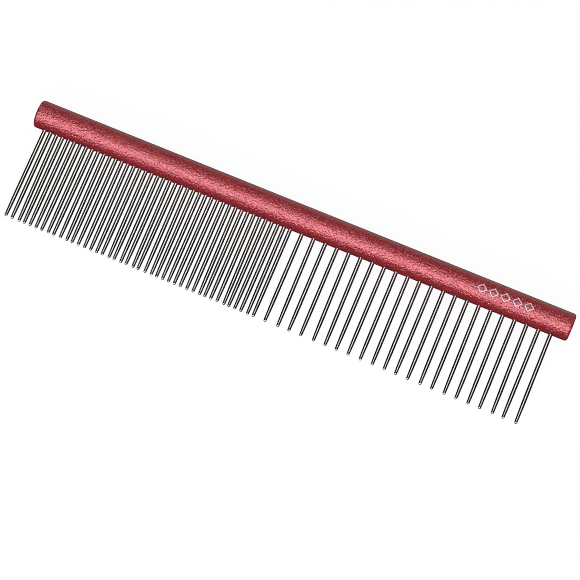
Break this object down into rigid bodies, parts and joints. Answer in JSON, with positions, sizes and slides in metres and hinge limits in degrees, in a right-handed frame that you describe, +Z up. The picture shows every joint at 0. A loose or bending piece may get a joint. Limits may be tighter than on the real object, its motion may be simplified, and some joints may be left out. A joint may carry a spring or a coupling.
{
  "type": "grooming comb",
  "caption": "Double-density pet grooming comb: one row of round steel teeth, fine then coarse, pressed into a round red hammer-coated spine.",
  "frame": {"origin": "on the surface the comb lies on, under the middle of the comb", "axes": "+X along the spine towards the coarse teeth, -Y from the spine towards the tips of the teeth, +Z up from the surface"},
  "size_m": [0.19, 0.041, 0.0095],
  "materials": {
    "red_coating": "satin",
    "polished_steel": "polished"
  },
  "bodies": {
    "root": {"spine_tube": "red_coating", "fine_end_plug": "red_coating", "coarse_end_plug": "red_coating", "fine_teeth_01_02": "polished_steel", "fine_teeth_03_04": "polished_steel", "fine_teeth_05_06": "polished_steel", "fine_teeth_07_08": "polished_steel", "fine_teeth_09_10": "polished_steel", "fine_teeth_11_12": "polished_steel", "fine_teeth_13_14": "polished_steel", "fine_teeth_15_16": "polished_steel", "fine_teeth_17_18": "polished_steel", "fine_teeth_19_20": "polished_steel", "fine_teeth_21_22": "polished_steel", "fine_teeth_23_24": "polished_steel", "fine_teeth_25_26": "polished_steel", "fine_teeth_27_28": "polished_steel", "fine_teeth_29_30": "polished_steel", "fine_teeth_31_32": "polished_steel", "fine_teeth_33_34": "polished_steel", "fine_teeth_35_36": "polished_steel", "fine_teeth_37_38": "polished_steel", "fine_teeth_39_40": "polished_steel", "fine_teeth_41_42": "polished_steel", "coarse_tooth_01": "polished_steel", "coarse_tooth_02": "polished_steel", "coarse_tooth_03": "polished_steel", "coarse_tooth_04": "polished_steel", "coarse_tooth_05": "polished_steel", "coarse_tooth_06": "polished_steel", "coarse_tooth_07": "polished_steel", "coarse_tooth_08": "polished_steel", "coarse_tooth_09": "polished_steel", "coarse_tooth_10": "polished_steel", "coarse_tooth_11": "polished_steel", "coarse_tooth_12": "polished_steel", "coarse_tooth_13": "polished_steel", "coarse_tooth_14": "polished_steel", "coarse_tooth_15": "polished_steel", "coarse_tooth_16": "polished_steel", "coarse_tooth_17": "polished_steel", "coarse_tooth_18": "polished_steel", "coarse_tooth_19": "polished_steel", "coarse_tooth_20": "polished_steel", "coarse_tooth_21": "polished_steel", "coarse_tooth_22": "polished_steel"}
  },
  "joints": []
}
